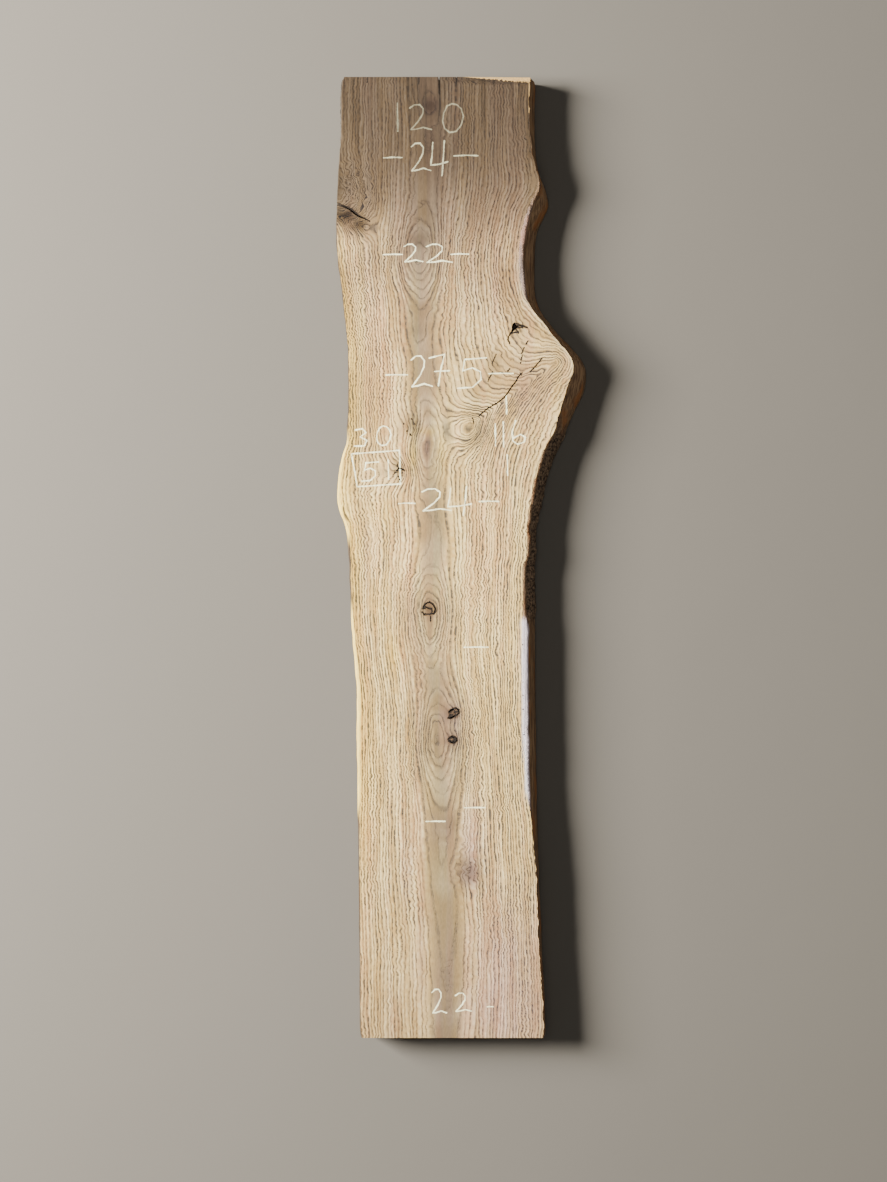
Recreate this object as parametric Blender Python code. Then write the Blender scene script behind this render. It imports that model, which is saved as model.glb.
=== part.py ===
"""Ash slab: one plank sawn through and through from a trunk, with both live edges left on.

Metres, +Z up. The slab lies on its sawn back. +Y runs along the trunk from the foot to the
crown, +X is the side with the big branch knot, and the show face looks up. The origin is the
middle of the bounding box, on the back face.
"""
import math

import bmesh
import bpy
import numpy as np
from mathutils import Vector, noise

# Driving dimensions
INCH = 0.0254
LENGTH = 116 * INCH
THICKNESS = 3 * INCH
STATIONS = 186
STATION_STEP = LENGTH / STATIONS
# Any width does for the block before its sides are shaped
ROUGH_WIDTH = 0.6
CUT_TOLERANCE = 1e-6
MERGE_GAP = 1e-5
# A face whose normal is at least this upright is a sawn face
UPRIGHT = 0.99

# Depths below the show face at which the live edges are shaped
BROW_DEPTH = 0.14 * THICKNESS
LAYER_SHARES = (0.02, 0.06, 0.14, 0.27, 0.42, 0.58, 0.74, 0.89)
LAYER_DEPTHS = [THICKNESS * share for share in LAYER_SHARES]

# Live edges as hand-measured points: height above the foot, distance from the heart line.
# The rim is where the sawn show face ends.
RIGHT_RIM = [
    (0.000, 0.248), (0.025, 0.251), (0.190, 0.242), (0.337, 0.233), (0.506, 0.227), (0.638, 0.215),
    (0.730, 0.205), (0.852, 0.196), (1.036, 0.189), (1.297, 0.187), (1.441, 0.189), (1.478, 0.199),
    (1.558, 0.199), (1.625, 0.208), (1.735, 0.230), (1.803, 0.251), (1.846, 0.276), (1.919, 0.300),
    (1.993, 0.322), (2.042, 0.339), (2.070, 0.341), (2.103, 0.323), (2.140, 0.290), (2.183, 0.258),
    (2.226, 0.221), (2.263, 0.196), (2.309, 0.182), (2.379, 0.175), (2.459, 0.179), (2.523, 0.195),
    (2.569, 0.213), (2.606, 0.233), (2.631, 0.235), (2.677, 0.224), (2.738, 0.212), (2.815, 0.207),
    (2.946, 0.207),
]
RIGHT_BACK = [
    (0.000, 0.261), (0.218, 0.251), (0.506, 0.239), (0.812, 0.231), (1.190, 0.228), (1.466, 0.227),
    (1.567, 0.230), (1.650, 0.250), (1.711, 0.262), (1.772, 0.283), (1.873, 0.326), (1.925, 0.348),
    (1.978, 0.376), (2.024, 0.386), (2.066, 0.383), (2.109, 0.354), (2.155, 0.311), (2.201, 0.271),
    (2.247, 0.240), (2.293, 0.228), (2.385, 0.227), (2.483, 0.233), (2.529, 0.254), (2.569, 0.270),
    (2.615, 0.258), (2.677, 0.236), (2.753, 0.228), (2.946, 0.227),
]
LEFT_BROW = [
    (0.000, -0.309), (0.020, -0.312), (0.162, -0.314), (0.331, -0.315), (0.515, -0.317), (0.760, -0.321),
    (0.914, -0.323), (1.036, -0.322), (1.104, -0.325), (1.174, -0.332), (1.343, -0.343), (1.512, -0.350),
    (1.567, -0.357), (1.613, -0.376), (1.656, -0.382), (1.717, -0.380), (1.766, -0.373), (1.797, -0.364),
    (1.827, -0.354), (1.879, -0.353), (1.956, -0.350), (2.094, -0.350), (2.201, -0.359), (2.309, -0.371),
    (2.379, -0.380), (2.447, -0.386), (2.569, -0.384), (2.661, -0.379), (2.784, -0.371), (2.920, -0.369),
    (2.946, -0.362),
]
# How far the left side runs back under the show face by the time it meets the sawn back.
LEFT_UNDERCUT = [(0.000, 0.006), (0.700, 0.010), (1.300, 0.014), (1.690, 0.004), (2.000, 0.012),
                 (2.500, 0.006), (2.946, 0.008)]
# Width of the rounded, bark-free band between the rim and the brow.
LEFT_WANE = [(0.000, 0.003), (0.650, 0.005), (0.800, 0.011), (1.100, 0.011), (1.350, 0.006), (1.550, 0.008),
             (1.690, 0.010), (1.820, 0.007), (2.000, 0.003), (2.946, 0.002)]
RIGHT_WANE = [(0.000, 0.002), (0.600, 0.003), (0.780, 0.007), (0.900, 0.014), (1.250, 0.016), (1.330, 0.010),
              (1.800, 0.007), (1.900, 0.003), (2.240, 0.003), (2.300, 0.013), (2.480, 0.016), (2.600, 0.010),
              (2.680, 0.003), (2.946, 0.003)]

# How squarely the band between rim and brow turns down: 2 is a quarter-round, more keeps it flat for longer
LEFT_BAND_TURN = 2.0
RIGHT_BAND_TURN = 4.0

# Relief of the live edges
BARK_FOOT = 1.27
BARK_TOP = 1.86
BARK_FADE = 0.06
BARK_RIDGE = 0.0075
BARK_REST = 0.2
BARE_RIPPLE = 0.0026
RIDGE_LENGTH = 0.060
RIDGE_WIDTH = 0.018
RIPPLE_LENGTH = 0.130
RIPPLE_WIDTH = 0.045
# Small notches along the two sawn rims
LEFT_NOTCH = 0.0018
RIGHT_NOTCH = 0.0030
NOTCH_LENGTH = 0.042
# Where each kind of relief is read in the random field
RIDGE_SEED = 3.0
RIGHT_SEED = 11.0
LEFT_SEED = 23.0
RIGHT_NOTCH_SEED = 31.0
LEFT_NOTCH_SEED = 37.0

# Chipped arris at the crown end, on the right half of the show face
CHIP_START = 0.003
CHIP_END = 0.207
CHIP_REACH = 0.017
CHIP_DROP = 0.007

# Bark pocket beside the branch knot
POCKET = [(0.158, 2.194), (0.164, 2.194), (0.169, 2.187), (0.180, 2.185), (0.174, 2.178), (0.167, 2.174),
          (0.160, 2.167), (0.154, 2.161), (0.150, 2.160), (0.152, 2.171), (0.151, 2.180), (0.154, 2.189)]
POCKET_DEPTH = 0.012
POCKET_FLOOR = 0.6

# Pin pits in the little burl: place, radius and depth
PIN_PITS = {
    "pin_pit_lower": (-0.1580, 1.850, 0.0040, 0.005),
    "pin_pit_upper": (-0.1690, 1.860, 0.0030, 0.004),
}
PIN_CORNERS = 7
PIN_RAGGEDNESS = 0.35
PIN_FLOOR = 0.55
PIN_SEED = 5.0

# Checks, cracks and the gaps round the knots: each one's depth, then its points with the width there.
CRACKS = {
    "knot_crack": (0.048, [
        (-0.400, 2.567, 0.0085), (-0.375, 2.555, 0.0078), (-0.353, 2.546, 0.0062), (-0.341, 2.538, 0.0060),
        (-0.324, 2.524, 0.0060), (-0.311, 2.517, 0.0050), (-0.298, 2.512, 0.0040), (-0.284, 2.504, 0.0010)]),
    "branch_crack": (0.018, [
        (0.051, 1.906, 0.0010), (0.078, 1.930, 0.0034), (0.108, 1.947, 0.0038), (0.129, 1.963, 0.0042),
        (0.140, 1.977, 0.0046), (0.152, 1.996, 0.0042), (0.166, 2.014, 0.0040), (0.172, 2.027, 0.0036),
        (0.185, 2.039, 0.0010)]),
    "branch_crack_tip": (0.007, [
        (0.209, 2.042, 0.0010), (0.222, 2.057, 0.0034), (0.231, 2.067, 0.0030), (0.245, 2.083, 0.0010)]),
    "branch_check": (0.005, [(0.202, 2.137, 0.0010), (0.200, 2.132, 0.0034), (0.196, 2.126, 0.0010)]),
    "crown_check": (0.030, [(-0.0705, 2.955, 0.0042), (-0.0700, 2.920, 0.0036), (-0.0690, 2.892, 0.0008)]),
    "short_check": (0.010, [(-0.0170, 2.955, 0.0030), (-0.0165, 2.926, 0.0008)]),
    "pocket_leg_down": (0.007, [
        (0.152, 2.165, 0.0060), (0.142, 2.149, 0.0042), (0.141, 2.141, 0.0036), (0.146, 2.129, 0.0030)]),
    "pocket_leg_up": (0.007, [(0.176, 2.185, 0.0050), (0.190, 2.180, 0.0032), (0.201, 2.178, 0.0012)]),
    "star_pit": (0.008, [
        (-0.201, 1.739, 0.0012), (-0.192, 1.747, 0.0060), (-0.185, 1.744, 0.0050), (-0.178, 1.741, 0.0030),
        (-0.170, 1.740, 0.0010)]),
    "star_pit_crown": (0.005, [(-0.199, 1.761, 0.0030), (-0.198, 1.751, 0.0012)]),
    "star_pit_foot": (0.006, [(-0.194, 1.722, 0.0012), (-0.191, 1.712, 0.0050), (-0.188, 1.704, 0.0012)]),
    "heart_knot_rim": (0.009, [
        (-0.120, 1.309, 0.0014), (-0.117, 1.323, 0.0030), (-0.109, 1.333, 0.0040), (-0.100, 1.335, 0.0034),
        (-0.089, 1.328, 0.0036), (-0.082, 1.316, 0.0052), (-0.086, 1.303, 0.0046), (-0.094, 1.299, 0.0012)]),
    "heart_knot_split": (0.006, [
        (-0.115, 1.316, 0.0020), (-0.109, 1.320, 0.0036), (-0.103, 1.316, 0.0032), (-0.097, 1.314, 0.0032),
        (-0.090, 1.316, 0.0012)]),
    "heart_knot_foot": (0.007, [(-0.121, 1.303, 0.0012), (-0.115, 1.297, 0.0044), (-0.108, 1.294, 0.0012)]),
    "heart_check": (0.008, [(-0.097, 1.292, 0.0026), (-0.096, 1.278, 0.0010)]),
    "open_knot_lens": (0.014, [
        (-0.041, 0.998, 0.0020), (-0.036, 1.002, 0.0075), (-0.030, 1.006, 0.0080), (-0.025, 1.008, 0.0030)]),
    "open_knot_crescent": (0.012, [
        (-0.021, 1.006, 0.0020), (-0.017, 1.010, 0.0036), (-0.010, 1.004, 0.0044), (-0.009, 0.997, 0.0044),
        (-0.014, 0.991, 0.0036), (-0.019, 0.988, 0.0012)]),
    "open_knot_foot": (0.014, [
        (-0.042, 0.981, 0.0040), (-0.032, 0.981, 0.0072), (-0.025, 0.985, 0.0070), (-0.022, 0.990, 0.0020)]),
    "small_knot_crown": (0.008, [
        (-0.042, 0.917, 0.0030), (-0.032, 0.924, 0.0040), (-0.024, 0.921, 0.0040), (-0.018, 0.924, 0.0015)]),
    "small_knot_side": (0.009, [
        (-0.017, 0.921, 0.0020), (-0.015, 0.912, 0.0050), (-0.020, 0.906, 0.0050), (-0.027, 0.907, 0.0046),
        (-0.032, 0.905, 0.0050), (-0.037, 0.911, 0.0036), (-0.042, 0.910, 0.0015)]),
}
CRACK_ROOT = 0.35
CUTTER_CLEARANCE = 0.006

ASH_COLOUR = (0.56, 0.44, 0.30, 1.0)
ASH_ROUGHNESS = 0.72


def clear_scene():
    for item in list(bpy.data.objects):
        bpy.data.objects.remove(item, do_unlink=True)


def new_collection(name):
    collection = bpy.data.collections.new(name)
    bpy.context.scene.collection.children.link(collection)
    return collection


def curve_through(points, height):
    """Smooth reading at one height of a list of (height, value) points."""
    index = 0
    while index < len(points) - 2 and height > points[index + 1][0]:
        index += 1
    before = points[max(index - 1, 0)]
    start = points[index]
    end = points[index + 1]
    after = points[min(index + 2, len(points) - 1)]
    span = end[0] - start[0]
    share = min(max((height - start[0]) / span, 0.0), 1.0)
    start_slope = (end[1] - before[1]) / (end[0] - before[0])
    end_slope = (after[1] - start[1]) / (after[0] - start[0])
    square = share * share
    cube = square * share
    return (
        (2 * cube - 3 * square + 1) * start[1]
        + (cube - 2 * square + share) * span * start_slope
        + (3 * square - 2 * cube) * end[1]
        + (cube - square) * span * end_slope
    )


def smooth_step(low, high, value):
    share = min(max((value - low) / (high - low), 0.0), 1.0)
    return share * share * (3 - 2 * share)


def bark_share(height):
    """1 where bark still clings to the right side, 0 where the side is bare."""
    above_foot = smooth_step(BARK_FOOT - BARK_FADE, BARK_FOOT, height)
    return above_foot * (1 - smooth_step(BARK_TOP, BARK_TOP + BARK_FADE, height))


def right_relief(height, depth):
    """Height of the bark ridges and ripples above the plain side."""
    ridge = noise.noise(Vector((height / RIDGE_LENGTH, depth / RIDGE_WIDTH, RIDGE_SEED)))
    ripple = noise.noise(Vector((height / RIPPLE_LENGTH, depth / RIPPLE_WIDTH, RIGHT_SEED)))
    return bark_share(height) * BARK_RIDGE * (abs(ridge) * 2 - BARK_REST) + BARE_RIPPLE * ripple


def left_relief(height, depth):
    ripple = noise.noise(Vector((height / RIPPLE_LENGTH, depth / RIPPLE_WIDTH, LEFT_SEED)))
    return BARE_RIPPLE * ripple


def rim_notch(height, size, seed):
    """How far a rim stands out of its drawn line, over the small splinters and dents along it."""
    return size * noise.noise(Vector((height / NOTCH_LENGTH, 0.0, seed)))


def side_fade(depth):
    """Keeps the relief off the two sawn rims."""
    return math.sin(math.pi * min(max(depth / THICKNESS, 0.0), 1.0)) ** 0.5


def rounded_band(wane, depth, turn):
    """How far the band has come out from the rim, at depth nought, on its way to the brow."""
    share = min(max(depth / BROW_DEPTH, 0.0), 1.0)
    return wane * (1 - (1 - share) ** turn) ** (1 / turn)


def right_reach(height, depth):
    rim = curve_through(RIGHT_RIM, height) + rim_notch(height, RIGHT_NOTCH, RIGHT_NOTCH_SEED)
    wane = curve_through(RIGHT_WANE, height)
    back = curve_through(RIGHT_BACK, height)
    if depth <= BROW_DEPTH:
        plain = rim + rounded_band(wane, depth, RIGHT_BAND_TURN)
    else:
        share = (depth - BROW_DEPTH) / (THICKNESS - BROW_DEPTH)
        plain = rim + wane + (back - rim - wane) * math.sin(share * math.pi / 2)
    return plain + side_fade(depth) * right_relief(height, depth)


def left_reach(height, depth):
    brow = curve_through(LEFT_BROW, height) + rim_notch(height, LEFT_NOTCH, LEFT_NOTCH_SEED)
    wane = curve_through(LEFT_WANE, height)
    undercut = curve_through(LEFT_UNDERCUT, height)
    if depth <= BROW_DEPTH:
        plain = brow + wane - rounded_band(wane, depth, LEFT_BAND_TURN)
    else:
        share = (depth - BROW_DEPTH) / (THICKNESS - BROW_DEPTH)
        plain = brow + undercut * share * share
    return plain - side_fade(depth) * left_relief(height, depth)


def sawn_block():
    """A squared block cut into the stations along the trunk and the layers through its depth."""
    block = bmesh.new()
    bmesh.ops.create_cube(block, size=1.0)
    bmesh.ops.scale(block, vec=(ROUGH_WIDTH, LENGTH, THICKNESS), verts=block.verts)
    bmesh.ops.translate(block, vec=(0, LENGTH / 2, THICKNESS / 2), verts=block.verts)
    for station in range(1, STATIONS):
        cut_block(block, (0, station * STATION_STEP, 0), (0, 1, 0))
    for depth in LAYER_DEPTHS:
        cut_block(block, (0, 0, THICKNESS - depth), (0, 0, 1))
    return block


def cut_block(block, point, direction):
    everything = list(block.verts) + list(block.edges) + list(block.faces)
    bmesh.ops.bisect_plane(block, geom=everything, plane_co=point, plane_no=direction, dist=CUT_TOLERANCE)


def shape_live_edges(block):
    for vertex in block.verts:
        height = vertex.co.y
        depth = max(THICKNESS - vertex.co.z, 0.0)
        reach = right_reach if vertex.co.x > 0 else left_reach
        vertex.co.x = reach(height, depth)


def chip_crown_arris(block):
    """A slanting facet that takes off the arris of the crown end, from the heart to the right rim."""
    start = Vector((CHIP_START, LENGTH, THICKNESS))
    end_on_face = Vector((CHIP_END, LENGTH - CHIP_REACH, THICKNESS))
    end_below = Vector((CHIP_END, LENGTH, THICKNESS - CHIP_DROP))
    outward = (end_on_face - start).cross(end_below - start).normalized()
    if outward.y < 0:
        outward.negate()
    everything = list(block.verts) + list(block.edges) + list(block.faces)
    bmesh.ops.bisect_plane(
        block, geom=everything, plane_co=start, plane_no=outward, clear_outer=True, dist=CUT_TOLERANCE)
    rim = [edge for edge in block.edges if edge.is_boundary]
    bmesh.ops.holes_fill(block, edges=rim, sides=0)


def centre_on_origin(block):
    """Moves the block so that its box is centred on the origin, and returns the move."""
    places = np.array([vertex.co for vertex in block.verts])
    middle = (places.min(axis=0) + places.max(axis=0)) / 2
    move = Vector((-middle[0], -middle[1], 0))
    bmesh.ops.translate(block, vec=move, verts=block.verts)
    return move


def ash_material():
    material = bpy.data.materials.new("ash_wood")
    material.use_nodes = True
    surface = material.node_tree.nodes["Principled BSDF"]
    surface.inputs["Base Color"].default_value = ASH_COLOUR
    surface.inputs["Roughness"].default_value = ASH_ROUGHNESS
    surface.inputs["Metallic"].default_value = 0.0
    return material


def make_slab(collection):
    block = sawn_block()
    shape_live_edges(block)
    chip_crown_arris(block)
    move = centre_on_origin(block)
    sides = [face for face in block.faces if abs(face.normal.z) < UPRIGHT]
    bmesh.ops.triangulate(block, faces=sides)
    bmesh.ops.recalc_face_normals(block, faces=block.faces)
    mesh = bpy.data.meshes.new("slab")
    block.to_mesh(mesh)
    block.free()
    mesh.materials.append(ash_material())
    slab = bpy.data.objects.new("slab", mesh)
    collection.objects.link(slab)
    return slab, move


def hide_cutter(cutter):
    cutter.hide_render = True
    cutter.display_type = "WIRE"


def flat_cutter(name, outline, depth, collection, move):
    """A prism over a flat outline on the show face, from just above it down to the depth."""
    curve = bpy.data.curves.new(name, "CURVE")
    curve.dimensions = "2D"
    curve.fill_mode = "BOTH"
    curve.extrude = (depth + CUTTER_CLEARANCE) / 2
    spline = curve.splines.new("POLY")
    spline.points.add(len(outline) - 1)
    for point, (across, height) in zip(spline.points, outline):
        point.co = (across, height, 0, 1)
    spline.use_cyclic_u = True
    drawn = bpy.data.objects.new(name + "_outline", curve)
    collection.objects.link(drawn)
    bpy.context.view_layer.update()
    mesh = bpy.data.meshes.new_from_object(drawn.evaluated_get(bpy.context.evaluated_depsgraph_get()))
    bpy.data.objects.remove(drawn, do_unlink=True)
    work = bmesh.new()
    work.from_mesh(mesh)
    bmesh.ops.remove_doubles(work, verts=work.verts, dist=MERGE_GAP)
    bmesh.ops.recalc_face_normals(work, faces=work.faces)
    work.to_mesh(mesh)
    work.free()
    cutter = bpy.data.objects.new(name, mesh)
    cutter.location = move + Vector((0, 0, THICKNESS + CUTTER_CLEARANCE - curve.extrude))
    collection.objects.link(cutter)
    hide_cutter(cutter)
    return cutter


def narrow_root(cutter, spine, share):
    """Draws the lower half of a cutter in towards the nearest point of its spine."""
    for vertex in cutter.data.vertices:
        if vertex.co.z > 0:
            continue
        place = Vector((vertex.co.x, vertex.co.y))
        nearest = min((Vector(point[:2]) for point in spine), key=lambda point: (point - place).length)
        place = nearest + (place - nearest) * share
        vertex.co.x = place.x
        vertex.co.y = place.y


def crack_cutter(name, path, depth, collection, move):
    """A wedge that follows a path of (across, height, width) points."""
    spots = [Vector(point[:2]) for point in path]
    left = []
    right = []
    for index, (spot, (_, _, width)) in enumerate(zip(spots, path)):
        along = spots[min(index + 1, len(spots) - 1)] - spots[max(index - 1, 0)]
        across = Vector((-along.y, along.x)).normalized() * width / 2
        left.append(tuple(spot + across))
        right.append(tuple(spot - across))
    cutter = flat_cutter(name, left + right[::-1], depth, collection, move)
    narrow_root(cutter, path, CRACK_ROOT)
    return cutter


def ragged_circle(across, height, radius, corners, raggedness, seed):
    """An outline round a knot hole, with an uneven edge."""
    outline = []
    for corner in range(corners):
        angle = 2 * math.pi * corner / corners
        uneven = 1 + raggedness * noise.noise(Vector((3 * math.cos(angle), 3 * math.sin(angle), seed)))
        reach = radius * uneven
        outline.append((across + reach * math.cos(angle), height + reach * math.sin(angle)))
    return outline


def make_cutters(collection, move):
    cutters = [crack_cutter(name, path, depth, collection, move) for name, (depth, path) in CRACKS.items()]
    pocket = flat_cutter("bark_pocket", POCKET, POCKET_DEPTH, collection, move)
    narrow_root(pocket, [tuple(np.mean(POCKET, axis=0))], POCKET_FLOOR)
    cutters.append(pocket)
    for order, (name, (across, height, radius, depth)) in enumerate(PIN_PITS.items()):
        outline = ragged_circle(across, height, radius, PIN_CORNERS, PIN_RAGGEDNESS, PIN_SEED + order)
        pit = flat_cutter(name, outline, depth, collection, move)
        narrow_root(pit, [(across, height)], PIN_FLOOR)
        cutters.append(pit)
    return cutters


def cut_with(slab, cutters):
    for cutter in cutters:
        cut = slab.modifiers.new(cutter.name, "BOOLEAN")
        cut.operation = "DIFFERENCE"
        cut.solver = "EXACT"
        cut.object = cutter


def main():
    clear_scene()
    parts = new_collection("ash_slab")
    tools = new_collection("cutters")
    slab, move = make_slab(parts)
    cutters = make_cutters(tools, move)
    cut_with(slab, cutters)


main()
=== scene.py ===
"""Looks of the ash slab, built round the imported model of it.

Metres. A height is measured up the trunk from the foot end, across is measured from the middle of
the slab, with the branch bulge on the plus side, and a depth is measured down from the show face.
"""
import math

import bpy
import numpy as np
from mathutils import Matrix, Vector, noise


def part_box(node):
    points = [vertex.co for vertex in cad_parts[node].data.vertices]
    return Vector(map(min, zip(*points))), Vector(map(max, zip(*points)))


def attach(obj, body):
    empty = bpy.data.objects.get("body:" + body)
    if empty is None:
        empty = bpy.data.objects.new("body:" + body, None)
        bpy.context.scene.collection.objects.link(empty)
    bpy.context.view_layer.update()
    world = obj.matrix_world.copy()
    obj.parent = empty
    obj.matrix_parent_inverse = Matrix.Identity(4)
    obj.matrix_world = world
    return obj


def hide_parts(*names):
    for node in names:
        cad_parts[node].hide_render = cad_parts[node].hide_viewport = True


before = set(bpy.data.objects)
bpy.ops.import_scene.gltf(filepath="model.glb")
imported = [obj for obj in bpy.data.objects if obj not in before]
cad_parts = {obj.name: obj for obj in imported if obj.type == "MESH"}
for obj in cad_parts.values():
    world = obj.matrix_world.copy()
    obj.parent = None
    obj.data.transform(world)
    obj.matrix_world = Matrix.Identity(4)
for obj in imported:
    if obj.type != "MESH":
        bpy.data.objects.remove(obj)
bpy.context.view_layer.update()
LOW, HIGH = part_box("slab")
FOOT = LOW.y
LENGTH = HIGH.y - LOW.y
THICKNESS = HIGH.z - LOW.z
FACE = HIGH.z
MILLIMETRE = 0.001
ACROSS = Vector((1, 0, 0))
ALONG = Vector((0, 1, 0))
UP = Vector((0, 0, 1))
# A face whose normal has this share of a direction faces that way, and with the second one it lies level
FACING = 0.9
LEVEL = 0.97

# Spacing of the cuts that divide the faces of the slab
SLICE = 7.0 * MILLIMETRE
FACE_STRIP = 9.0 * MILLIMETRE
BACK_STRIP = 45.0 * MILLIMETRE
EDGE_LAYER = 4.5 * MILLIMETRE
MERGE_GAP = 0.01 * MILLIMETRE
FLAT_ANGLE = math.radians(0.05)
SMOOTH_ANGLE = math.radians(35)
RIM_TOLERANCE = 0.05 * MILLIMETRE

# Growth rings: the heart line that the rings are centred on, as (height, across), and how far under
# the show face the pith runs, as (height, count of rings)
RING = 8.5 * MILLIMETRE
HEART_LINE = [
    (0.000, -0.049), (0.325, -0.046), (0.515, -0.058), (0.730, -0.061), (0.929, -0.071), (1.036, -0.077),
    (1.214, -0.098), (1.315, -0.098), (1.420, -0.092), (1.527, -0.086), (1.650, -0.092), (1.809, -0.104),
    (1.956, -0.120), (2.042, -0.117), (2.171, -0.129), (2.263, -0.123), (2.379, -0.129), (2.493, -0.117),
    (2.612, -0.110), (2.815, -0.101), (2.946, -0.104),
]
PITH_DEPTH = [
    (0.000, 12.7), (0.178, 12.3), (0.325, 11.9), (0.423, 11.6), (0.576, 11.3), (0.730, 11.5),
    (0.929, 11.6), (1.098, 11.2), (1.282, 11.1), (1.466, 11.2), (1.588, 11.4), (1.741, 11.6),
    (1.895, 11.6), (2.042, 11.9), (2.171, 11.8), (2.263, 11.4), (2.379, 10.9), (2.505, 10.0),
    (2.612, 9.0), (2.784, 8.4), (2.946, 7.6),
]
# How far from the heart line the two rims count as being, so that the outer rings follow them
LEFT_BARK_REACH = -0.245
RIGHT_BARK_REACH = 0.285

# Swellings round knots and buds: across, height, half width, half height, rings that the layers rise
SWELLINGS = [
    (-0.098, 2.858, 0.028, 0.037, -1.2), (-0.132, 2.400, 0.070, 0.120, -5.5),
    (-0.135, 2.165, 0.031, 0.061, -0.8), (-0.108, 1.815, 0.042, 0.120, -4.2),
    (0.015, 1.858, 0.049, 0.049, -4.0), (-0.156, 1.870, 0.043, 0.055, 2.0),
    (-0.199, 1.735, 0.055, 0.043, 3.0), (-0.098, 1.305, 0.060, 0.105, -5.0),
    (-0.098, 1.205, 0.025, 0.067, -1.6), (-0.066, 0.905, 0.075, 0.165, -4.5),
    (-0.086, 0.915, 0.028, 0.080, -1.8), (-0.028, 0.914, 0.021, 0.028, -1.0),
    (-0.031, 0.993, 0.021, 0.028, -1.0), (0.000, 0.515, 0.037, 0.055, 1.2),
    (0.156, 0.993, 0.018, 0.025, 0.8), (-0.350, 2.585, 0.070, 0.075, 5.0),
]
# How far the dull heart reaches to either side of the heart line, as (height, half width)
HEART_REACH = [
    (0.000, 0.050), (0.250, 0.050), (0.330, 0.055), (0.500, 0.064), (0.700, 0.066), (0.850, 0.088),
    (1.000, 0.090), (1.120, 0.076), (1.220, 0.070), (1.300, 0.082), (1.400, 0.058), (1.500, 0.034),
    (1.600, 0.032), (1.700, 0.042), (1.800, 0.055), (1.900, 0.050), (2.000, 0.042), (2.100, 0.042),
    (2.250, 0.058), (2.400, 0.070), (2.550, 0.050), (2.946, 0.050),
]
# The reddish line where the dull heart ends on its left, as (height, across)
HEART_RIM = [
    (0.300, -0.096), (0.400, -0.118), (0.500, -0.136), (0.617, -0.150), (0.735, -0.136), (0.830, -0.158),
    (0.900, -0.170), (1.020, -0.158), (1.130, -0.167), (1.250, -0.206), (1.344, -0.198), (1.430, -0.160),
    (1.490, -0.128), (1.630, -0.143), (1.706, -0.168), (1.836, -0.182), (1.980, -0.146), (2.062, -0.160),
    (2.180, -0.175), (2.342, -0.204),
]
HEART_RIM_WIDTH = 0.010
# How far in from the left edge the yellow sapwood reaches
YELLOW_WIDTH = 0.036
# Branch stubs that the rings bend along: start, end, half width, rings that the layers rise
BRANCHES = [((0.037, 1.883), (0.288, 2.073), 0.061, -9.0), ((-0.405, 2.531), (-0.300, 2.486), 0.030, -6.0)]

# Places on the show face with a stain or an unquiet grain: across, height, half width, half height, strength
SMUDGES = [
    (-0.096, 2.858, 0.026, 0.030, 0.45), (-0.132, 2.444, 0.030, 0.026, 0.6),
    (-0.135, 2.165, 0.026, 0.022, 0.35), (-0.153, 1.880, 0.026, 0.034, 0.6),
    (-0.028, 0.656, 0.024, 0.030, 0.35), (0.022, 0.508, 0.040, 0.052, 0.80),
    (-0.101, 1.315, 0.021, 0.021, 0.55), (-0.028, 0.993, 0.022, 0.022, 0.5),
    (-0.029, 0.914, 0.020, 0.020, 0.5), (-0.196, 1.744, 0.022, 0.030, 0.7),
    (0.040, 1.850, 0.030, 0.030, 0.35), (0.100, 2.075, 0.020, 0.045, 0.55),
    (0.045, 1.955, 0.034, 0.034, 0.35), (0.183, 2.036, 0.045, 0.050, 0.18),
    (0.170, 2.180, 0.022, 0.022, 0.5), (-0.356, 2.520, 0.036, 0.022, 1.00),
    (-0.318, 2.494, 0.030, 0.020, 0.95), (-0.106, 1.800, 0.012, 0.045, 0.35),
]
BURLS = [
    (-0.330, 2.610, 0.060, 0.085, 1.3), (0.156, 0.993, 0.018, 0.018, 0.5),
    (0.024, 0.509, 0.048, 0.055, 0.6), (-0.153, 1.880, 0.022, 0.030, 0.5),
    (-0.199, 1.744, 0.026, 0.034, 0.6), (0.120, 2.110, 0.060, 0.080, 0.35),
]
# Where the saw left a clear ripple across the grain
RIPPLES = [
    (0.035, 1.060, 0.030, 0.080, 1.0), (-0.160, 0.810, 0.022, 0.120, 1.0),
    (-0.170, 1.400, 0.030, 0.110, 0.9), (0.040, 1.360, 0.060, 0.180, 0.9),
    (-0.320, 2.230, 0.070, 0.240, 1.0), (-0.290, 1.600, 0.060, 0.220, 1.0),
    (0.230, 1.840, 0.060, 0.100, 0.9), (0.010, 0.600, 0.030, 0.080, 1.0),
    (-0.145, 0.500, 0.018, 0.130, 1.0), (0.010, 2.250, 0.030, 0.200, 0.8),
    (-0.240, 2.000, 0.060, 0.160, 0.9), (0.080, 1.620, 0.080, 0.120, 0.7),
]
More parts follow.
